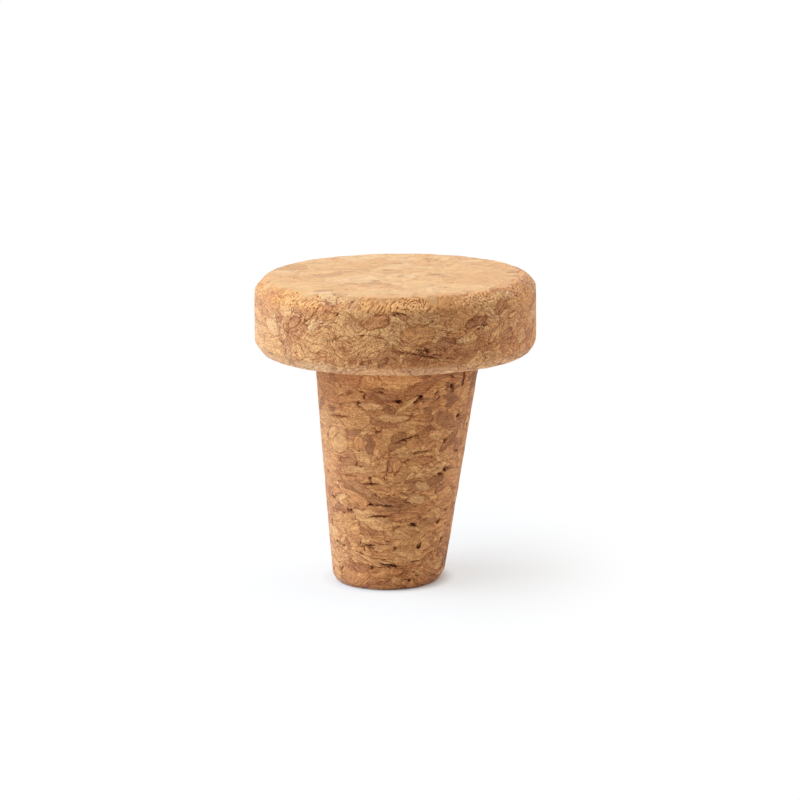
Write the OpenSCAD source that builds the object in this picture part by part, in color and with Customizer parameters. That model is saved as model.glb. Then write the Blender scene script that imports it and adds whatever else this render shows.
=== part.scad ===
// Cork stopper for a wide bottle or jar neck: a broad flat head with chamfered rims on a
// long tapered plug, turned in one piece from a block of agglomerated cork granules.
// It stands on the plug's foot. The origin is on the head's axis, at the height of the
// foot, and +Z runs up through the head.

/* [Head] */
// Diameter of the head's straight side
head_d = 50; // [38:0.5:80]
// Height of the head, from its underside to its flat top
head_h = 13.5; // [9:0.5:24]
// Width of the chamfer between the side and the flat top, seen from above
top_chamfer_w = 2.2; // [1.6:0.1:3]
// Height of the chamfer between the side and the flat top
top_chamfer_h = 2.1; // [1.6:0.1:3]
// Width of the chamfer between the side and the underside, seen from below
bottom_chamfer_w = 1.5; // [1.2:0.1:3]
// Height of the chamfer between the side and the underside
bottom_chamfer_h = 2.1; // [1.6:0.1:3]
// Radius that softens the edges of both chamfers
rim_soft = 0.8; // [0.3:0.1:1]

/* [Plug] */
// Diameter of the plug where it meets the head's underside
plug_top_d = 29.8; // [24:0.2:36]
// Diameter of the plug at its foot, before the foot's chamfer
plug_foot_d = 19.9; // [14:0.1:23.5]
// Length of the plug below the head's underside
plug_l = 41.8; // [25:0.2:60]
// Angle by which the plug's axis leans off the head's, its foot towards -X, in degrees
plug_lean = 2.9; // [0:0.1:4]
// Distance from the head's axis to the plug's, at the head's underside, towards +X
plug_offset = 0.3; // [-1:0.1:1]

/* [Foot] */
// Width of the chamfer round the foot
foot_chamfer_w = 0.6; // [0.5:0.1:1.5]
// Height of the chamfer round the foot
foot_chamfer_h = 1.1; // [0.6:0.1:1.8]
// Radius that softens the foot's chamfer where it meets the foot
foot_soft = 0.5; // [0.2:0.1:0.8]

/* [Hidden] */
$fn = 96;

head_r = head_d / 2;
plug_top_r = plug_top_d / 2;
plug_foot_r = plug_foot_d / 2;
overall_h = plug_l + head_h;
cork = [0.78, 0.58, 0.40];

// The plug's slope, as radius gained for each millimetre along its own axis
plug_axis_l = plug_l / cos(plug_lean);
plug_slope = (plug_top_r - plug_foot_r) / plug_axis_l;
// Where the plug's axis meets the plane of the foot
foot_x = plug_offset - plug_l * tan(plug_lean);
// How far the plug's cone runs on past the foot before it is cut level
overrun = 4;
// How far the plug's cone runs up into the head, so that they are one solid
root = head_h / 2;

function unit(v) = v / norm(v);

// Angle by which an outline turns at corner b on its way from a to c
function turn(a, b, c) = acos(unit(b - a) * unit(c - b));

// Distance from corner b to where an arc of radius r meets the outline's sides
function setback(a, b, c, r) = r * tan(turn(a, b, c) / 2);

// Centre of that arc, on the line that halves the corner
function arc_centre(a, b, c, r) =
    b + unit(unit(a - b) + unit(c - b)) * r / cos(turn(a, b, c) / 2);

// A half section whose first and last points lie on the axis. Each of its corners named
// in soft is rounded by an arc of radius r.
module soft_section(points, soft, r) {
    polygon([
        for (i = [0:len(points) - 1])
            let (b = points[i])
            if (len(search(i, soft)) == 0) b
            else let (a = points[i - 1], c = points[i + 1], s = setback(a, b, c, r))
                each [b + unit(a - b) * s, b + unit(c - b) * s]
    ]);
    for (i = soft)
        translate(arc_centre(points[i - 1], points[i], points[i + 1], r)) circle(r);
}

// Head: a disc with a chamfer round each rim
module head() {
    translate([0, 0, plug_l]) rotate_extrude()
        soft_section([
            [0, 0],
            [head_r - bottom_chamfer_w, 0],
            [head_r, bottom_chamfer_h],
            [head_r, head_h - top_chamfer_h],
            [head_r - top_chamfer_w, head_h],
            [0, head_h]
        ], [1, 2, 3, 4], rim_soft);
}

// The plug's cone on its leaning axis, too long at both ends
module plug_cone() {
    translate([plug_offset, 0, plug_l]) rotate([0, plug_lean, 0])
        translate([0, 0, -plug_axis_l - overrun])
            cylinder(
                h = plug_axis_l + overrun + root,
                r1 = plug_foot_r - overrun * plug_slope,
                r2 = plug_top_r + root * plug_slope
            );
}

// Everything above the level foot and inside its chamfer
module above_foot() {
    rim_r = plug_foot_r - foot_chamfer_w;
    reach = plug_top_r + abs(foot_x);
    translate([foot_x, 0, 0]) rotate_extrude()
        soft_section([
            [0, 0],
            [rim_r, 0],
            [rim_r + reach, reach * foot_chamfer_h / foot_chamfer_w],
            [rim_r + reach, overall_h + reach],
            [0, overall_h + reach]
        ], [1], foot_soft);
}

module stopper() {
    color(cork) union() {
        head();
        intersection() {
            plug_cone();
            above_foot();
        }
    }
}

stopper();
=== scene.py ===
import math

import bmesh
import bpy
from mathutils import Matrix, Vector


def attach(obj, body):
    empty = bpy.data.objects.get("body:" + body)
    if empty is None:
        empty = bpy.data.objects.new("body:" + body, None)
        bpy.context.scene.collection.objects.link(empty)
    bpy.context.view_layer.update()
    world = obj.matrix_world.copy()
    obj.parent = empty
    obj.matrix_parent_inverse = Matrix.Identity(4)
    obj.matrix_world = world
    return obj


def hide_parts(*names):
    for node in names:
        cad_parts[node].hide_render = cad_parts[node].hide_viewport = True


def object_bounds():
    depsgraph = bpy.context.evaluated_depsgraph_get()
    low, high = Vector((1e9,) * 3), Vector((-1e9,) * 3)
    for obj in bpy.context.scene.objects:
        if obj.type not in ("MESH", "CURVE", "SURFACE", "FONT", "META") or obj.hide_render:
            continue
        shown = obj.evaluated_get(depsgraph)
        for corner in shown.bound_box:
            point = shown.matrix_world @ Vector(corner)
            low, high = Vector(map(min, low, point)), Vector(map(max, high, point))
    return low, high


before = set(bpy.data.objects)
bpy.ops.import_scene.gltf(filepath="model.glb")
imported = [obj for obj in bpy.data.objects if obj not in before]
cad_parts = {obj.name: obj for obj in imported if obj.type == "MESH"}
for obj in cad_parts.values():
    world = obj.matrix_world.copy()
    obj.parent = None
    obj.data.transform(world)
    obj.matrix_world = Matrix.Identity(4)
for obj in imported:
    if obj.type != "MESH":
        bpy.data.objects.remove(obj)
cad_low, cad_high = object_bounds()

# ---- The blank ----------------------------------------------------------------------
# The stopper is one piece: a broad head and a tapered plug, turned from a block of pressed
# cork. The blank is that turned shape, closed and even all over, before the granules, seams
# and open voids are worked into its skin.

MM = 0.001
top_mm = cad_high.z / MM
head_r_mm = (cad_high.x - cad_low.x) / 2 / MM
head_h_mm = 13.5
shoulder_mm = top_mm - head_h_mm
chamfer_mm = 2.2
lower_chamfer_mm = 1.5
blank_grain = 0.15 * MM


def turned_blank(cad_node):
    """A closed mesh of even, small faces with the shape of a CAD node."""
    mesh = cad_node.data.copy()
    welded = bmesh.new()
    welded.from_mesh(mesh)
    bmesh.ops.remove_doubles(welded, verts=welded.verts, dist=1e-7)
    welded.to_mesh(mesh)
    welded.free()
    blank = bpy.data.objects.new("cork_stopper", mesh)
    bpy.context.scene.collection.objects.link(blank)
    skin = blank.modifiers.new("even_skin", "REMESH")
    skin.mode = "VOXEL"
    skin.voxel_size = blank_grain
    return blank


cad_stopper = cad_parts["stopper"]
stopper = turned_blank(cad_stopper)


# ---- The pressed granules -----------------------------------------------------------
# Cork bark is ground to flat granules of 1 to 6 mm, which are glued and pressed into a
# block. They lie mostly level, and each keeps its own shade and its own direction of growth.


class Bench:
    """Lays nodes in one tree, and wires each input to a socket or sets it to a value."""

    def __init__(self, tree):
        self.tree = tree

    def node(self, kind, inputs=(), **settings):
        made = self.tree.nodes.new(kind)
        for name, value in settings.items():
            setattr(made, name, value)
        for key, value in dict(inputs).items():
            self.feed(made.inputs[key], value)
        return made

    def feed(self, socket, value):
        if isinstance(value, bpy.types.NodeSocket):
            self.tree.links.new(value, socket)
        else:
            socket.default_value = value

    def math(self, operation, *values):
        return self.node("ShaderNodeMath", enumerate(values), operation=operation).outputs[0]

    def vector(self, operation, *values):
        made = self.node("ShaderNodeVectorMath", enumerate(values), operation=operation)
        return made.outputs["Value" if operation in ("DOT_PRODUCT", "LENGTH") else "Vector"]

    def scaled(self, vector, factor):
        made = self.node("ShaderNodeVectorMath", {0: vector, "Scale": factor}, operation="SCALE")
        return made.outputs["Vector"]

    def parts(self, vector):
        return self.node("ShaderNodeSeparateXYZ", {0: vector}).outputs

    def joined(self, x, y, z):
        return self.node("ShaderNodeCombineXYZ", {0: x, 1: y, 2: z}).outputs[0]

    def noise(self, at, scale, detail=2.0, roughness=0.5, output="Fac"):
        made = self.node(
            "ShaderNodeTexNoise",
            {"Vector": at, "Scale": scale, "Detail": detail, "Roughness": roughness},
        )
        return made.outputs[output]

    def push(self, at, scale, reach, detail=1.0):
        """A wandering push of up to half of reach each way."""
        wander = self.noise(at, scale, detail, output="Color")
        return self.scaled(self.vector("SUBTRACT", wander, (0.5, 0.5, 0.5)), reach)

    def cells(self, at, feature="F1"):
        return self.node("ShaderNodeTexVoronoi", {"Vector": at, "Scale": 1.0}, feature=feature)

    def ramp(self, value, low, high, to_low=0.0, to_high=1.0):
        made = self.node(
            "ShaderNodeMapRange",
            {"Value": value, "From Min": low, "From Max": high, "To Min": to_low, "To Max": to_high},
            interpolation_type="SMOOTHSTEP",
        )
        return made.outputs["Result"]

    def blend(self, factor, a, b, kind="FLOAT", how="MIX"):
        made = self.node("ShaderNodeMix", data_type=kind, blend_type=how)
        slots = {"FLOAT": (0, 2, 3, 0), "VECTOR": (0, 4, 5, 1), "RGBA": (0, 6, 7, 2)}[kind]
        for index, value in zip(slots, (factor, a, b)):
            self.feed(made.inputs[index], value)
        return made.outputs[slots[3]]

    def use(self, pattern, inputs):
        """The outputs of a pattern, placed in this tree."""
        kind = self.tree.bl_idname
        made = self.node(kind.replace("NodeTree", "NodeGroup"), node_tree=pattern[kind])
        for name, value in inputs.items():
            self.feed(made.inputs[name], value)
        return made.outputs


NUMBER = "NodeSocketFloat"
VECTOR = "NodeSocketVector"


def pattern(name, inputs, outputs, fill):
    """A node group made twice by one function: for the finish, and for the relief."""
    made = {}
    for kind, use in (("ShaderNodeTree", "finish"), ("GeometryNodeTree", "relief")):
        tree = bpy.data.node_groups.new(f"{name}_{use}", kind)
        for sockets, in_out in ((inputs, "INPUT"), (outputs, "OUTPUT")):
            for socket, socket_kind in sockets.items():
                tree.interface.new_socket(name=socket, in_out=in_out, socket_type=socket_kind)
        given = tree.nodes.new("NodeGroupInput").outputs
        put = tree.nodes.new("NodeGroupOutput").inputs
        bench = Bench(tree)
        for socket, value in fill(bench, given).items():
            bench.feed(put[socket], value)
        made[kind] = tree
    return made


def fill_spot(bench, given):
    offset = bench.vector("SUBTRACT", given["Place"], given["Centre"])
    rotated = bench.node(
        "ShaderNodeVectorRotate",
        {"Vector": offset, "Rotation": given["Turn"]},
        rotation_type="EULER_XYZ",
        invert=True,
    ).outputs[0]
    return {"Distance": bench.vector("LENGTH", bench.vector("DIVIDE", rotated, given["Reach"]))}


# Distance is 0 at the middle of an oval spot and 1 at its rim
spot = pattern(
    "oval_spot",
    {"Place": VECTOR, "Centre": VECTOR, "Turn": VECTOR, "Reach": VECTOR},
    {"Distance": NUMBER},
    fill_spot,
)


def spot_distance(bench, place, bearing, height, half_length, half_height, tilt, half_depth=1.5):
    """Distance from a spot on the skin. Bearing is from the front, to the right, in degrees."""
    turn = math.radians(bearing)
    outward = Vector((math.sin(turn), -math.cos(turn), 0))
    start = outward * 0.1 + Vector((0, 0, height * MM))
    hit, skin_point, _, _ = cad_stopper.ray_cast(start, -outward)
    return bench.use(spot, {
        "Place": place,
        "Centre": skin_point / MM,
        "Turn": (0, -math.radians(tilt), turn),
        "Reach": (half_length, half_depth, half_height),
    })["Distance"]


# Granules that stand out: bearing, height, half length, half height, tilt, shade and grain.
# A shade runs from 0, pale, over 0.4, tan, and 0.75, red-brown, to 1, grey-brown.
noted_granules = (
    (-50, 26.8, 2.5, 1.8, 10, 0.32, 0.1),
    (-57, 28.4, 1.9, 1.0, 35, 0.38, 0.2),
    (-20, 27.0, 1.5, 0.9, 75, 1.00, 0.5),
    (-30, 27.2, 1.4, 1.2, 80, 0.66, 0.4),
    (-41, 23.7, 2.1, 0.7, -3, 0.92, 0.5),
    (-6, 23.2, 1.3, 0.6, 82, 0.88, 0.6),
    (0, 23.4, 1.3, 0.8, 70, 0.62, 0.4),
    (19, 24.1, 2.8, 0.8, 2, 0.80, 0.5),
    (-2, 32.2, 3.5, 0.8, 3, 0.36, 0.3),
    (-18, 34.3, 2.7, 0.7, 0, 0.30, 0.5),
    (-8, 35.9, 2.6, 0.9, -8, 0.95, 0.8),
    (8, 34.6, 2.6, 0.6, 34, 0.30, 0.4),
    (45, 26.8, 2.3, 0.9, 36, 1.00, 0.5),
    (60, 25.7, 1.6, 0.8, 30, 0.95, 0.4),
    (35, 20.0, 2.0, 0.8, 12, 0.96, 0.7),
    (22, 19.4, 1.7, 0.8, -24, 0.22, 0.2),
    (17, 17.0, 1.7, 1.0, -4, 0.20, 0.1),
    (8, 13.7, 2.7, 0.9, -4, 0.82, 0.5),
    (-11, 3.4, 3.4, 1.1, 3, 0.76, 0.9),
    (-52, 16.8, 1.8, 0.7, 15, 0.28, 0.2),
    (-34, 22.4, 4.2, 0.7, 3, 0.30, 0.6),
    (42, 51.6, 2.5, 0.8, -34, 0.14, 0.6),
    (47, 52.5, 1.8, 1.1, 20, 0.92, 0.9),
    (34, 50.5, 2.4, 0.8, 15, 0.88, 0.9),
    (44, 48.0, 2.3, 0.9, 40, 0.34, 0.9),
    (51, 47.3, 1.6, 1.1, 0, 0.90, 0.8),
    (61, 46.3, 1.6, 1.5, 20, 0.26, 0.4),
    (25, 48.8, 1.9, 0.8, 0, 0.68, 0.7),
    (25, 50.7, 1.1, 1.3, 80, 0.62, 0.3),
    (9, 49.0, 3.0, 1.8, 0, 0.72, 0.3),
    (6, 46.5, 3.3, 0.7, -8, 0.52, 0.9),
    (20, 47.3, 2.0, 1.0, 10, 0.93, 0.9),
    (27, 45.5, 1.4, 0.7, -10, 0.90, 0.9),
    (16, 44.8, 3.4, 0.6, 2, 0.86, 0.9),
    (-12, 47.1, 4.1, 1.9, 5, 0.46, 0.9),
    (-35, 52.6, 2.3, 0.7, 52, 0.66, 0.4),
    (-26, 52.0, 1.5, 0.5, 30, 0.68, 0.5),
    (-59, 48.6, 2.4, 1.3, -20, 0.12, 0.1),
    (-5, 44.3, 1.2, 0.6, 40, 0.97, 0.8),
    (-8, 51.3, 2.6, 1.1, 10, 0.74, 0.5),
    (3, 52.4, 1.4, 0.45, -12, 0.86, 0.5),
    (-17, 44.6, 0.6, 0.45, 0, 0.85, 0.5),
)


# Crumbs fill the patches whose noise is above the first number, and the second is how much
# of the block has small granules in place of large ones
crumbs_above = 0.60
small_share = 0.45


def fill_granules(bench, given):
    place = given["Place"]
    ragged = bench.vector("ADD", place, bench.push(place, 1.6, 0.7))
    crumpled = bench.vector("ADD", ragged, bench.push(place, 0.6, 1.2, 2.0))
    flow = bench.vector("ADD", ragged, bench.push(place, 0.10, 7.0))
    pressed = bench.vector("ADD", flow, bench.push(place, 0.45, 1.8))
    laid = bench.vector("MULTIPLY", pressed, bench.joined(1.0, 1.0, given["Flatness"]))
    crumbly = bench.noise(place, 0.22, 1.0)
    key = seam = None
    for size in ("Crumb", "Small Granule", "Large Granule"):
        at = bench.scaled(laid, bench.math("DIVIDE", 1.0, given[size]))
        own_key = bench.cells(at).outputs["Color"]
        own_seam = bench.cells(at, "DISTANCE_TO_EDGE").outputs["Distance"]
        own_seam = bench.math("MULTIPLY", own_seam, given[size])
        if key is None:
            key, seam = own_key, own_seam
            continue
        if size == "Small Granule":
            kept = bench.math("LESS_THAN", crumbly, crumbs_above)
        else:
            kept = bench.math("GREATER_THAN", bench.parts(own_key)[2], small_share)
        key = bench.blend(kept, key, own_key, "RGBA")
        seam = bench.blend(kept, seam, own_seam)
    shade, turn, grain = bench.parts(key)
    tan = bench.math("SUBTRACT", shade, 0.5)
    shade = bench.math("MULTIPLY_ADD", tan, given["Contrast"], given["Middle Shade"])
    grain = bench.math("MAXIMUM", grain, bench.ramp(shade, 0.75, 0.95))
    lean = bench.math("FRACT", bench.math("MULTIPLY", shade, 9.7))
    lean = bench.math("MULTIPLY", lean, given["Lean"])
    turn = bench.math("MULTIPLY", turn, math.tau)
    level = [bench.math("MULTIPLY", bench.math(way, turn), lean) for way in ("COSINE", "SINE")]
    growth = bench.joined(level[0], level[1], 1.0)
    for bearing, height, half_length, half_height, tilt, its_shade, its_grain in noted_granules:
        away = spot_distance(bench, crumpled, bearing, height, half_length, half_height, tilt)
        inside = bench.math("LESS_THAN", away, 1.0)
        rim = bench.math("ABSOLUTE", bench.math("SUBTRACT", away, 1.0))
        rim = bench.math("MULTIPLY", rim, half_height)
        seam = bench.blend(inside, bench.math("MINIMUM", seam, rim), rim)
        shade = bench.blend(inside, shade, its_shade)
        grain = bench.blend(inside, grain, its_grain)
        across = Vector((-math.sin(math.radians(tilt)), 0, math.cos(math.radians(tilt))))
        across.rotate(Matrix.Rotation(math.radians(bearing), 3, "Z"))
        growth = bench.blend(inside, growth, across, "VECTOR")
    return {"Shade": shade, "Grain": grain, "Growth": growth, "Seam Distance": seam}


granules = pattern(
    "granules",
    {"Place": VECTOR, "Large Granule": NUMBER, "Small Granule": NUMBER, "Crumb": NUMBER,
     "Flatness": NUMBER, "Contrast": NUMBER, "Lean": NUMBER, "Middle Shade": NUMBER},
    {"Shade": NUMBER, "Grain": NUMBER, "Growth": VECTOR, "Seam Distance": NUMBER},
    fill_granules,
)
on_plug = {
    "Large Granule": 5.8,
    "Small Granule": 3.3,
    "Crumb": 1.5,
    "Flatness": 2.3,
    "Contrast": 0.66,
    "Lean": 0.8,
    "Middle Shade": 0.64,
}
on_head = {
    "Large Granule": 8.5,
    "Small Granule": 4.2,
    "Crumb": 1.5,
    "Flatness": 1.6,
    "Contrast": 0.82,
    "Lean": 0.4,
    "Middle Shade": 0.48,
}


# ---- The growth lines ---------------------------------------------------------------
# The bark grows in thin layers, and where a granule is cut they show as thin, wavy, dark
# lines, finer fibres and broader bands. Pressing bends them, in the head most of all.

lines_per_mm = 1.45
fibres_per_mm = 2.4


def fill_growth(bench, given):
    place = given["Place"]
    bent = bench.vector("ADD", place, bench.push(place, 0.13, given["Swirl"]))
    wavy = bench.vector("ADD", bent, bench.push(place, 0.8, given["Ripple"], 2.0))
    growth = bench.vector("NORMALIZE", given["Growth"])
    depth = bench.vector("DOT_PRODUCT", wavy, growth)
    own = bench.scaled(bench.joined(given["Shade"], given["Grain"], 0.0), 40.0)
    along = bench.vector("ADD", bench.scaled(wavy, 0.18), own)
    across = bench.scaled(growth, bench.math("MULTIPLY", depth, lines_per_mm))
    layers = bench.noise(bench.vector("ADD", along, across), 1.0, 2.0)
    from_line = bench.math("ABSOLUTE", bench.math("SUBTRACT", layers, 0.5))
    across = bench.scaled(growth, bench.math("MULTIPLY", depth, fibres_per_mm))
    fine = bench.vector("ADD", bench.scaled(wavy, given["Fibre Scale"]), own)
    fine = bench.vector("ADD", fine, across)
    return {
        "Lines": bench.ramp(from_line, 0.004, 0.038, 1.0, 0.0),
        "Fibres": bench.ramp(bench.noise(fine, 1.0, 2.0), 0.46, 0.60),
        "Bands": layers,
    }


growth_lines = pattern(
    "growth_lines",
    {"Place": VECTOR, "Growth": VECTOR, "Shade": NUMBER, "Grain": NUMBER, "Swirl": NUMBER,
     "Ripple": NUMBER, "Fibre Scale": NUMBER},
    {"Lines": NUMBER, "Fibres": NUMBER, "Bands": NUMBER},
    fill_growth,
)


# ---- The crevices -------------------------------------------------------------------
# Where the block was not pressed full, open crevices stay between the granules. The wide
# ones are deep, short and nearly black, the thin ones are hairlines, and most are on the plug.

# Bearing, height, half length, half height, tilt, and how open it is: 1 is a black hole
crevices = (
    (2, 35.2, 0.75, 0.32, -12, 1.0),
    (18, 35.9, 0.45, 0.3, 60, 1.0),
    (14, 35.0, 0.5, 0.2, 25, 0.9),
    (16, 35.5, 1.1, 0.13, 40, 0.7),
    (8, 28.4, 2.3, 0.12, 18, 0.7),
    (6, 28.3, 0.3, 0.15, 15, 1.0),
    (46, 21.8, 0.7, 0.42, 15, 1.0),
    (40, 21.1, 0.75, 0.27, -10, 1.0),
    (63, 22.3, 0.2, 1.0, 10, 0.4),
    (-22, 19.9, 1.8, 0.13, 3, 0.75),
    (-22, 20.0, 0.3, 0.2, 3, 1.0),
    (-63, 16.2, 0.4, 0.33, 0, 0.9),
    (-42, 14.5, 0.6, 0.33, -35, 1.0),
    (-50, 13.9, 0.25, 0.22, 0, 0.8),
    (-23, 16.1, 0.5, 0.25, 5, 1.0),
    (-11, 16.0, 1.8, 0.13, -2, 0.7),
    (-16, 14.0, 2.0, 0.26, 4, 0.75),
    (15, 12.3, 0.6, 0.33, -20, 1.0),
    (43, 12.1, 0.7, 0.36, 22, 1.0),
    (53, 13.9, 0.35, 0.25, 10, 0.9),
    (56, 11.2, 0.3, 0.27, 0, 0.9),
    (-8, 4.8, 1.8, 0.2, -8, 1.0),
    (-61, 2.9, 0.9, 0.16, -40, 0.8),
    (-58, 3.3, 0.6, 0.14, 50, 0.7),
    (-26, 8.5, 1.0, 0.15, 4, 0.75),
    (-31, 7.7, 0.15, 0.5, 0, 0.5),
    (12, 1.7, 0.3, 0.35, 0, 0.8),
    (19, 5.3, 0.9, 0.13, 4, 0.6),
    (19, 25.8, 2.3, 0.13, 2, 0.6),
    (-42, 21.1, 1.8, 0.12, 0, 0.45),
    (-47, 31.8, 3.0, 0.22, 3, 0.5),
    (-35, 36.5, 1.0, 0.4, 8, 0.5),
    (35, 49.2, 0.45, 0.15, 10, 0.6),
    (38, 49.6, 0.9, 0.1, 38, 0.5),
    (14, 51.1, 1.1, 0.1, 20, 0.4),
    (2, 52.8, 1.1, 0.1, -14, 0.6),
    (9, 45.6, 4.5, 0.1, -12, 0.5),
    (10, 46.4, 1.9, 0.1, -14, 0.5),
    (-24, 48.2, 2.2, 0.1, 20, 0.3),
    (-41, 50.5, 1.2, 0.1, 50, 0.3),
    (-33, 52.8, 1.9, 0.1, 52, 0.4),
    (32, 51.3, 1.6, 0.1, 25, 0.4),
    (-18, 54.2, 0.3, 0.9, -30, 0.3),
)


def fill_crevices(bench, given):
    place = given["Place"]
    ragged = bench.vector("ADD", place, bench.push(place, 1.8, 0.8, 2.0))
    void = 0.0
    for bearing, height, half_length, half_height, tilt, openness in crevices:
        away = spot_distance(bench, ragged, bearing, height, half_length, half_height, tilt)
        void = bench.math("MAXIMUM", void, bench.ramp(away, 0.5, 1.3, openness, 0.0))
    apart = bench.vector("ADD", place, (31.0, 17.0, 5.0))
    gap = bench.ramp(bench.noise(apart, 0.5, 1.0), 0.62, 0.80, 0.0, given["Widest"])
    open_seam = bench.math("SUBTRACT", given["Seam Distance"], gap)
    scattered = bench.ramp(open_seam, -0.10, 0.0, 1.0, 0.0)
    return {"Void": bench.math("MAXIMUM", void, scattered)}


open_voids = pattern(
    "open_voids",
    {"Place": VECTOR, "Seam Distance": NUMBER, "Widest": NUMBER},
    {"Void": NUMBER},
    fill_crevices,
)


# ---- The torn rim -------------------------------------------------------------------
# The upper rim is a chamfer cut across the granules' ends, where the cork tears into ridges
# like a comb's and, towards +X, crumbles. The flat top is sanded smooth, and the chamfer
# under the head is cut clean; its pale colour is partly a painted highlight.


def fill_rim(bench, given):
    place = given["Place"]
    x, y, z = bench.parts(place)
    off_axis = bench.vector("LENGTH", bench.joined(x, y, 0.0))
    to_rim = bench.math("DIVIDE", head_r_mm, off_axis)
    outward = bench.scaled(bench.joined(x, y, 0.0), to_rim)
    rim = bench.ramp(z, top_mm - 2.9, top_mm - 2.1)
    under = bench.ramp(z, shoulder_mm + 1.0, shoulder_mm + 1.8, 1.0, 0.0)
    under = bench.math("MULTIPLY", under, bench.ramp(off_axis, head_r_mm - 3.0, head_r_mm - 2.0))
    from_edge = bench.math("SUBTRACT", head_r_mm - chamfer_mm, off_axis)
    crumbled = bench.ramp(x, 7.0, 12.0)
    from_edge = bench.math("MULTIPLY_ADD", crumbled, -0.9, from_edge)
    ragged = bench.math("ADD", from_edge, bench.parts(bench.push(place, 0.45, 7.0, 3.0))[0])
    near_top = bench.ramp(z, top_mm - 1.6, top_mm - 1.4)
    sanded = bench.math("MULTIPLY", bench.ramp(ragged, -0.35, 0.0), near_top)
    rim = bench.math("MULTIPLY", rim, bench.math("SUBTRACT", 1.0, sanded))
    patchy = bench.ramp(bench.noise(outward, 0.16, 1.0), 0.42, 0.58)
    front_right = bench.ramp(bench.vector("DOT_PRODUCT", outward, (0.5, -0.87, 0.0)), 18.0, 21.0)
    torn = bench.math("MULTIPLY", rim, bench.math("MAXIMUM", patchy, front_right))
    down = bench.math("SUBTRACT", top_mm, z)
    y_back = bench.math("MULTIPLY", y, -1.0)
    slant = bench.math("MULTIPLY", down, 0.6 / head_r_mm)
    sideways = bench.scaled(bench.joined(y_back, x, 0.0), slant)
    comb = bench.ramp(bench.noise(outward, 0.22, 1.0), 0.44, 0.54, 1.1, 0.2)
    drop = bench.joined(0.0, 0.0, bench.math("MULTIPLY", down, comb))
    at = bench.vector("ADD", bench.vector("ADD", outward, sideways), drop)
    at = bench.vector("ADD", at, bench.push(place, 0.4, 1.6))
    at = bench.blend(crumbled, at, bench.scaled(place, 0.85), "VECTOR")
    shallow = bench.blend(crumbled, 0.15, 0.2)
    ridges = bench.ramp(bench.noise(at, 3.3, 2.0), 0.40, 0.51, shallow, 1.0)
    fresh = bench.math("MULTIPLY", torn, bench.blend(crumbled, 0.55, 0.05))
    return {"Torn": torn, "Ridges": ridges, "Sanded": sanded, "Under": under, "Fresh": fresh}


torn_rim = pattern(
    "torn_rim",
    {"Place": VECTOR},
    {"Torn": NUMBER, "Ridges": NUMBER, "Sanded": NUMBER, "Under": NUMBER, "Fresh": NUMBER},
    fill_rim,
)


def cork_skin(bench, place):
    """Everything that shapes and colours the skin at a place, given in mm."""
    z = bench.parts(place)[2]
    skin = {"Head": bench.ramp(z, shoulder_mm - 0.15, shoulder_mm - 0.05)}
    rim = bench.use(torn_rim, {"Place": place})
    sizes = {name: bench.blend(skin["Head"], on_plug[name], on_head[name]) for name in on_plug}
    for cut_face in ("Sanded", "Under"):
        sizes["Contrast"] = bench.blend(rim[cut_face], sizes["Contrast"], 1.1)
    # Painted shade: the plug's granules are made darker up to 16 mm under the head, where the head
    # shades it
    shade_under_head = bench.ramp(z, shoulder_mm - 16.0, shoulder_mm - 1.0, 0.0, 0.14)
    shade_under_head = bench.blend(skin["Head"], shade_under_head, 0.0)
    sizes["Middle Shade"] = bench.math("ADD", sizes["Middle Shade"], shade_under_head)
    for outputs in (rim, bench.use(granules, {"Place": place, **sizes})):
        skin.update({output.name: output for output in outputs})
    lines = bench.use(growth_lines, {
        "Place": place,
        "Growth": skin["Growth"],
        "Shade": skin["Shade"],
        "Grain": skin["Grain"],
        "Swirl": bench.blend(skin["Head"], 4.5, 9.0),
        "Ripple": bench.blend(skin["Head"], 0.5, 0.2),
        "Fibre Scale": bench.blend(skin["Head"], 0.7, 0.3),
    })
    tightness = bench.blend(skin["Sanded"], 0.44, 0.54)
    open_from = bench.math("ADD", tightness, 0.18)
    loose = bench.ramp(bench.noise(place, 0.38, 2.0, 0.6), tightness, open_from)
    worn = bench.blend(skin["Torn"], 1.0, 0.3)
    polished = bench.blend(loose, 0.18, 0.7)
    clean = bench.blend(skin["Under"], 1.0, 0.85)
    cut = bench.blend(skin["Sanded"], clean, polished)
    plain = bench.math("MULTIPLY", cut, worn)
    closed = bench.math("SUBTRACT", 1.0, skin["Sanded"])
    voids = bench.use(open_voids, {
        "Place": place,
        "Seam Distance": skin["Seam Distance"],
        "Widest": bench.math("MULTIPLY", bench.blend(skin["Head"], 0.38, 0.12), closed),
    })
    skin.update({output.name: output for outputs in (lines, voids) for output in outputs})
    dark_seam = bench.ramp(skin["Seam Distance"], 0.0, 0.13, 1.0, 0.0)
    skin["Seam"] = bench.math("MULTIPLY", dark_seam, bench.math("MULTIPLY", loose, worn))
    for marks in ("Lines", "Fibres"):
        skin[marks] = bench.math("MULTIPLY", skin[marks], plain)
    skin["Plain"] = plain
    return skin


# ---- The relief ---------------------------------------------------------------------
# Turning and sanding leave seams and growth lines a little sunk, the torn rim ridged and the
# crevices open. The corners are worn, and the chamfers are cut a little crooked: towards +X
# they stand up to 0.3 mm proud of a true cone.


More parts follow.
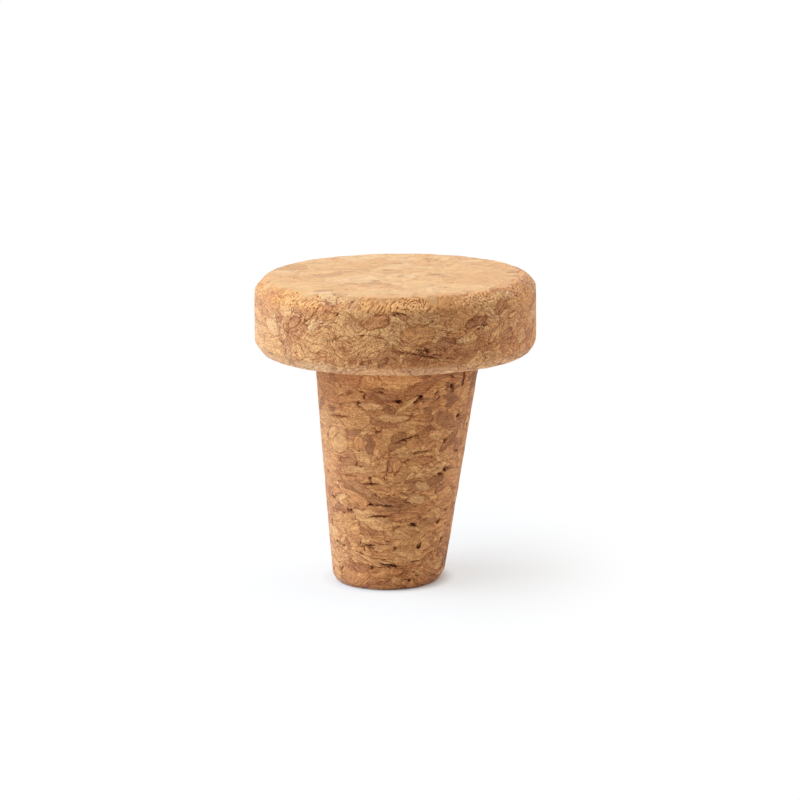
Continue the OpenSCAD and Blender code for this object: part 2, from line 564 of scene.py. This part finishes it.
def cork_relief():
    """Geometry nodes that push the blank's skin in along seams, ridges and crevices."""
    tree = bpy.data.node_groups.new("cork_relief", "GeometryNodeTree")
    for name, kind in (
        ("Geometry", "NodeSocketGeometry"),
        ("Seam Depth", NUMBER),
        ("Line Depth", NUMBER),
        ("Ridge Depth", NUMBER),
        ("Void Depth", NUMBER),
        ("Unevenness", NUMBER),
        ("Worn Corners", NUMBER),
        ("Crooked Chamfer", NUMBER),
        ("Cork", "NodeSocketMaterial"),
    ):
        tree.interface.new_socket(name=name, in_out="INPUT", socket_type=kind)
    tree.interface.new_socket(name="Geometry", in_out="OUTPUT", socket_type="NodeSocketGeometry")
    bench = Bench(tree)
    given = tree.nodes.new("NodeGroupInput").outputs
    place = bench.scaled(bench.node("GeometryNodeInputPosition").outputs[0], 1 / MM)
    skin = cork_skin(bench, place)
    ridges = bench.math("MULTIPLY", skin["Torn"], bench.math("SUBTRACT", 1.0, skin["Ridges"]))
    x, y, z = bench.parts(place)
    off_axis = bench.vector("LENGTH", bench.joined(x, y, 0.0))
    corners = 0.0
    worn_reach = 1.3
    for corner_r, corner_z, wear in (
        (head_r_mm - chamfer_mm, top_mm, bench.ramp(x, 0.0, head_r_mm, 0.3, 2.5)),
        (head_r_mm, top_mm - chamfer_mm, 1.0),
        (head_r_mm, shoulder_mm + chamfer_mm, 0.2),
        (head_r_mm - lower_chamfer_mm, shoulder_mm, 0.2),
    ):
        outward = bench.math("SUBTRACT", off_axis, corner_r)
        upward = bench.math("SUBTRACT", z, corner_z)
        from_corner = bench.vector("LENGTH", bench.joined(outward, upward, 0.0))
        near = bench.ramp(from_corner, 0.0, worn_reach, wear, 0.0)
        corners = bench.math("MAXIMUM", corners, near)
    upper_cut = bench.ramp(z, top_mm - 2.6, top_mm - 1.4)
    upper_rim = bench.ramp(off_axis, head_r_mm - 3.2, head_r_mm - 1.8)
    upper_cut = bench.math("MULTIPLY", upper_cut, upper_rim)
    lower_cut = bench.ramp(z, shoulder_mm + 1.2, shoulder_mm + 2.4, 1.0, 0.0)
    lower_rim = bench.ramp(off_axis, head_r_mm - 2.4, head_r_mm - 1.2)
    lower_cut = bench.math("MULTIPLY", lower_cut, lower_rim)
    right = bench.math("MAXIMUM", bench.math("MULTIPLY", x, 1 / head_r_mm), 0.0)
    upper_cut = bench.math("MULTIPLY", upper_cut, bench.math("MULTIPLY", right, -1.0))
    fuller = bench.ramp(x, -head_r_mm, head_r_mm, -0.1, -0.8)
    lower_cut = bench.math("MULTIPLY", lower_cut, fuller)
    hollows = bench.ramp(bench.noise(place, 0.2, 1.0), 0.3, 0.7, -0.4, 0.6)
    depth = 0.0
    for shape, reach in (
        (skin["Seam"], "Seam Depth"),
        (skin["Lines"], "Line Depth"),
        (ridges, "Ridge Depth"),
        (skin["Void"], "Void Depth"),
        (hollows, "Unevenness"),
        (corners, "Worn Corners"),
        (upper_cut, "Crooked Chamfer"),
        (lower_cut, "Crooked Chamfer"),
    ):
        depth = bench.math("MULTIPLY_ADD", shape, given[reach], depth)
    normal = bench.node("GeometryNodeInputNormal").outputs[0]
    inward = bench.scaled(normal, bench.math("MULTIPLY", depth, -MM))
    moved = bench.node("GeometryNodeSetPosition", {"Geometry": given["Geometry"], "Offset": inward})
    real = bench.node("GeometryNodeRealizeInstances", {"Geometry": moved.outputs[0]})
    dressed = bench.node(
        "GeometryNodeSetMaterial",
        {"Geometry": real.outputs[0], "Material": given["Cork"]},
    )
    bench.feed(tree.nodes.new("NodeGroupOutput").inputs["Geometry"], dressed.outputs[0])
    return tree


# ---- The cork finish ----------------------------------------------------------------
# Bare cork, neither oiled nor waxed: dry, with a faint bloom of dust on its cut cells. A
# granule's shade sets its colour. Seams, lines, ridges and holes all darken it by one brown
# stain, each by its own strength. In the grooves between ridges and in the holes that
# darkening is partly painted shade, and the widest holes are painted nearly black inside.


def cork_finish():
    sanded_tone = (0.59, 0.345, 0.145, 1)
    fresh_tone = (0.93, 0.475, 0.16, 1)
    pale_and_highlight_tone = (1.0, 0.64, 0.35, 1)
    stain_tone = (0.27, 0.075, 0.01, 1)
    hole_shell_and_shade_tone = (0.05, 0.011, 0.002, 1)
    cork = bpy.data.materials.new("bare_cork")
    cork.use_nodes = True
    cork.node_tree.nodes.clear()
    bench = Bench(cork.node_tree)
    place = bench.scaled(bench.node("ShaderNodeTexCoord").outputs["Object"], 1 / MM)
    skin = cork_skin(bench, place)
    ramp = bench.node("ShaderNodeValToRGB", {0: skin["Shade"]})
    shades = (
        (0.00, (0.97, 0.61, 0.31, 1)),
        (0.15, (0.96, 0.565, 0.255, 1)),
        (0.30, (0.94, 0.53, 0.22, 1)),
        (0.50, (0.92, 0.485, 0.19, 1)),
        (0.65, (0.89, 0.44, 0.165, 1)),
        (0.78, (0.82, 0.385, 0.145, 1)),
        (0.88, (0.71, 0.325, 0.125, 1)),
        (1.00, (0.55, 0.25, 0.10, 1)),
    )
    while len(ramp.color_ramp.elements) < len(shades):
        ramp.color_ramp.elements.new(0.5)
    for element, (position, shade) in zip(ramp.color_ramp.elements, shades):
        element.position = position
        element.color = shade
    colour = ramp.outputs[0]
    sanded = bench.math("MULTIPLY", skin["Sanded"], 0.52)
    colour = bench.blend(sanded, colour, sanded_tone, "RGBA")
    colour = bench.blend(skin["Fresh"], colour, fresh_tone, "RGBA")
    # Painted highlight, in part: the chamfer under the head is painted paler, as a band of light
    # along it
    under = bench.math("MULTIPLY", skin["Under"], 0.5)
    colour = bench.blend(under, colour, pale_and_highlight_tone, "RGBA")
    grain = bench.math("MULTIPLY_ADD", skin["Grain"], 0.75, 0.25)
    mottle = bench.ramp(bench.noise(place, 1.1, 2.0, 0.7), 0.44, 0.66)
    specks = bench.ramp(bench.noise(place, 3.6, 1.0), 0.46, 0.62)
    speckled = bench.math("MULTIPLY", specks, skin["Plain"])
    patches = bench.ramp(bench.noise(place, 0.42, 2.0, 0.6), 0.53, 0.68)
    soft = bench.blend(skin["Sanded"], skin["Plain"], 0.5)
    # darker within 0.28 mm of each granule's seam
    outline = bench.ramp(skin["Seam Distance"], 0.0, 0.28, 1.0, 0.0)
    stain = 1.0
    # Each mask, and how strongly it stains: a blend is from the plug's strength to the head's
    for mask, strength in (
        (bench.math("MULTIPLY", patches, soft), bench.blend(skin["Head"], 0.12, 0.32)),
        (bench.ramp(skin["Bands"], 0.35, 0.65), bench.blend(skin["Head"], 0.25, 0.12)),
        (mottle, bench.blend(skin["Head"], 0.18, 0.10)),
        (speckled, bench.blend(skin["Head"], 0.24, 0.44)),
        (bench.math("MULTIPLY", outline, soft), 0.30),
        (bench.math("MULTIPLY", skin["Fibres"], grain), bench.blend(skin["Head"], 0.26, 0.28)),
        (bench.math("MULTIPLY", skin["Lines"], grain), bench.blend(skin["Head"], 0.62, 0.84)),
        # Painted shade, in part: the grooves between torn ridges are stained dark besides the relief
        # that shades them
        (bench.math("MULTIPLY", skin["Torn"], bench.math("SUBTRACT", 1.0, skin["Ridges"])), 0.88),
        (skin["Seam"], bench.blend(skin["Head"], 0.9, 0.7)),
        (skin["Void"], 1.0),
    ):
        bare = bench.math("SUBTRACT", 1.0, bench.math("MULTIPLY", mask, strength))
        stain = bench.math("MULTIPLY", stain, bare)
    stain = bench.math("SUBTRACT", 1.0, stain)
    colour = bench.blend(stain, colour, stain_tone, "RGBA", "MULTIPLY")
    # Painted shade, in part: the widest holes are painted nearly black, for their dark shell and for
    # the shade inside them
    hole = bench.ramp(skin["Void"], 0.55, 1.0, 0.0, 0.97)
    colour = bench.blend(hole, colour, hole_shell_and_shade_tone, "RGBA")
    height = bench.math("MULTIPLY", mottle, -0.04)
    height = bench.math("MULTIPLY_ADD", speckled, -0.05, height)
    bump = bench.node("ShaderNodeBump", {"Height": height, "Distance": MM})
    roughness = bench.ramp(mottle, 0.0, 1.0, 0.82, 0.95)
    bsdf = bench.node(
        "ShaderNodeBsdfPrincipled",
        {"Base Color": colour, "Roughness": roughness, "Normal": bump.outputs[0]},
    )
    bsdf.inputs["Specular IOR Level"].default_value = 0.2
    bsdf.inputs["Sheen Weight"].default_value = 0.2
    bsdf.inputs["Sheen Roughness"].default_value = 0.5
    bench.node("ShaderNodeOutputMaterial", {"Surface": bsdf.outputs[0]})
    return cork


def split_to_triangles(mesh):
    """Splits four-cornered faces here, so that none is later split into a folded pair."""
    skin = bmesh.new()
    skin.from_mesh(mesh)
    bmesh.ops.triangulate(skin, faces=skin.faces)
    skin.to_mesh(mesh)
    skin.free()


relief = stopper.modifiers.new("relief", "NODES")
relief.node_group = cork_relief()
worked = {
    "Seam Depth": 0.10,
    "Line Depth": 0.06,
    "Ridge Depth": 0.16,
    "Void Depth": 0.75,
    "Unevenness": 0.08,
    "Worn Corners": 0.08,
    "Crooked Chamfer": 0.32,
    "Cork": cork_finish(),
}
for item in relief.node_group.interface.items_tree:
    if item.in_out == "INPUT" and item.name in worked:
        relief[item.identifier] = worked[item.name]
share_of_faces_kept = 0.19
thin = stopper.modifiers.new("thinned", "DECIMATE")
thin.ratio = share_of_faces_kept
evaluated = stopper.evaluated_get(bpy.context.evaluated_depsgraph_get())
carved = bpy.data.meshes.new_from_object(evaluated)
split_to_triangles(carved)
stopper.modifiers.clear()
stopper.data = carved
carved.shade_smooth()
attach(stopper, "root")
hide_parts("stopper")


# ---- The floor and the light --------------------------------------------------------
# A white table with no edge in sight. Round the foot the camera sees part of the real cast
# shadow, with a broad faint painted shade and a darker painted ring close round the foot.
# A broad soft lamp stands high on the left, with weaker lamps lower on the left and on the right.


def white_floor():
    floor_mesh = bpy.data.meshes.new("table_top")
    reach = 3.0
    shade_middle = (0.003, 0.012, 0.0)
    foot_middle = (-0.0018, 0.0, 0.0)
    tint_on_cork = (0.92, 0.88, 0.82, 1)
    floor_light_plus_painted_shade = 1.42
    corners = [(x * reach, y * reach, 0.0) for x, y in ((-1, -1), (1, -1), (1, 1), (-1, 1))]
    floor_mesh.from_pydata(corners, [], [(0, 1, 2, 3)])
    floor = bpy.data.objects.new("table_top", floor_mesh)
    bpy.context.scene.collection.objects.link(floor)
    white = bpy.data.materials.new("white_table")
    white.use_nodes = True
    white.node_tree.nodes.clear()
    bench = Bench(white.node_tree)
    place = bench.node("ShaderNodeTexCoord").outputs["Object"]
    away = bench.vector("SUBTRACT", place, shade_middle)
    away = bench.vector("LENGTH", bench.vector("MULTIPLY", away, (1.0, 0.6, 1.0)))
    # Painted shade: the camera's glow is cut by more than the open floor's light, so a halo and a
    # ring round the foot are darkened besides the real cast shadow
    cast_and_painted_shade = bench.ramp(away, 0.0, 0.046, 0.29, 0.0)
    foot_away = bench.vector("LENGTH", bench.vector("SUBTRACT", place, foot_middle))
    cast_and_painted_shade = bench.math("ADD", cast_and_painted_shade, bench.ramp(foot_away, 0.0088, 0.0125, 0.40, 0.0))
    seen = bench.node("ShaderNodeLightPath").outputs["Is Camera Ray"]
    paint = bench.blend(seen, tint_on_cork, bench.joined(cast_and_painted_shade, cast_and_painted_shade, cast_and_painted_shade), "RGBA")
    glow = bench.math("MULTIPLY", seen, bench.math("MULTIPLY_ADD", cast_and_painted_shade, -floor_light_plus_painted_shade, 1.01))
    bsdf = bench.node("ShaderNodeBsdfPrincipled", {"Base Color": paint, "Roughness": 1.0})
    bsdf.inputs["Specular IOR Level"].default_value = 0.0
    bsdf.inputs["Emission Color"].default_value = (1, 1, 1, 1)
    bench.feed(bsdf.inputs["Emission Strength"], glow)
    bench.node("ShaderNodeOutputMaterial", {"Surface": bsdf.outputs[0]})
    floor_mesh.materials.append(white)


white_floor()


lamp_distance = 0.7


def soft_lamp(name, bearing, elevation, width, height, power, colour):
    """An area lamp that faces the head from that bearing and elevation, in degrees."""
    lamp = bpy.data.lights.new(name, "AREA")
    lamp.shape = "RECTANGLE"
    lamp.size = width
    lamp.size_y = height
    lamp.energy = power
    lamp.color = colour
    holder = bpy.data.objects.new(name, lamp)
    turn, rise = math.radians(bearing), math.radians(elevation)
    direction = Vector((math.sin(turn), -math.cos(turn), math.tan(rise))).normalized()
    holder.location = Vector((0, 0, shoulder_mm * MM)) + direction * lamp_distance
    holder.rotation_euler = direction.to_track_quat("Z", "Y").to_euler()
    bpy.context.scene.collection.objects.link(holder)


daylight = (0.88, 1.0, 1.13)
warm_light = (1.0, 0.975, 0.93)
warm_fill = (1.0, 0.91, 0.80)
soft_lamp("high_left_lamp", -90, 60, 0.6, 0.6, 4.7, daylight)
soft_lamp("low_left_lamp", -82, 38, 0.6, 0.5, 3.7, daylight)
soft_lamp("right_lamp", 105, 35, 0.6, 0.5, 3.0, warm_light)

world = bpy.data.worlds.new("studio")
bpy.context.scene.world = world
world.use_nodes = True
world.node_tree.nodes.clear()
bench = Bench(world.node_tree)
seen = bench.node("ShaderNodeLightPath").outputs
white = bench.math("MAXIMUM", seen["Is Camera Ray"], seen["Is Glossy Ray"])
level = bench.blend(white, 0.07, 1.0)
tone = bench.blend(white, (*warm_fill, 1), (1, 1, 1, 1), "RGBA")
sky = bench.node("ShaderNodeBackground", {"Color": tone, "Strength": level})
bench.node("ShaderNodeOutputWorld", {"Surface": sky.outputs[0]})
bpy.context.scene.view_settings.view_transform = "Standard"


# ---- The camera ---------------------------------------------------------------------
# A long lens a little above the head, rolled by half a degree: it looks slightly down on
# the top.

elevation = math.radians(12.0)
roll_deg = -0.56
distance = 0.6
aim = Vector((0.68, 1.18, 32.3)) * MM
back = Vector((0, -math.cos(elevation), math.sin(elevation)))
lens = bpy.data.cameras.new("camera")
lens.lens = 150.9
camera = bpy.data.objects.new("camera", lens)
camera.location = aim + back * distance
turn = back.to_track_quat("Z", "Y")
roll = Matrix.Rotation(math.radians(roll_deg), 3, "Z")
camera.rotation_euler = (turn.to_matrix() @ roll).to_euler()
lens.clip_start = 0.01
bpy.context.scene.collection.objects.link(camera)
bpy.context.scene.camera = camera
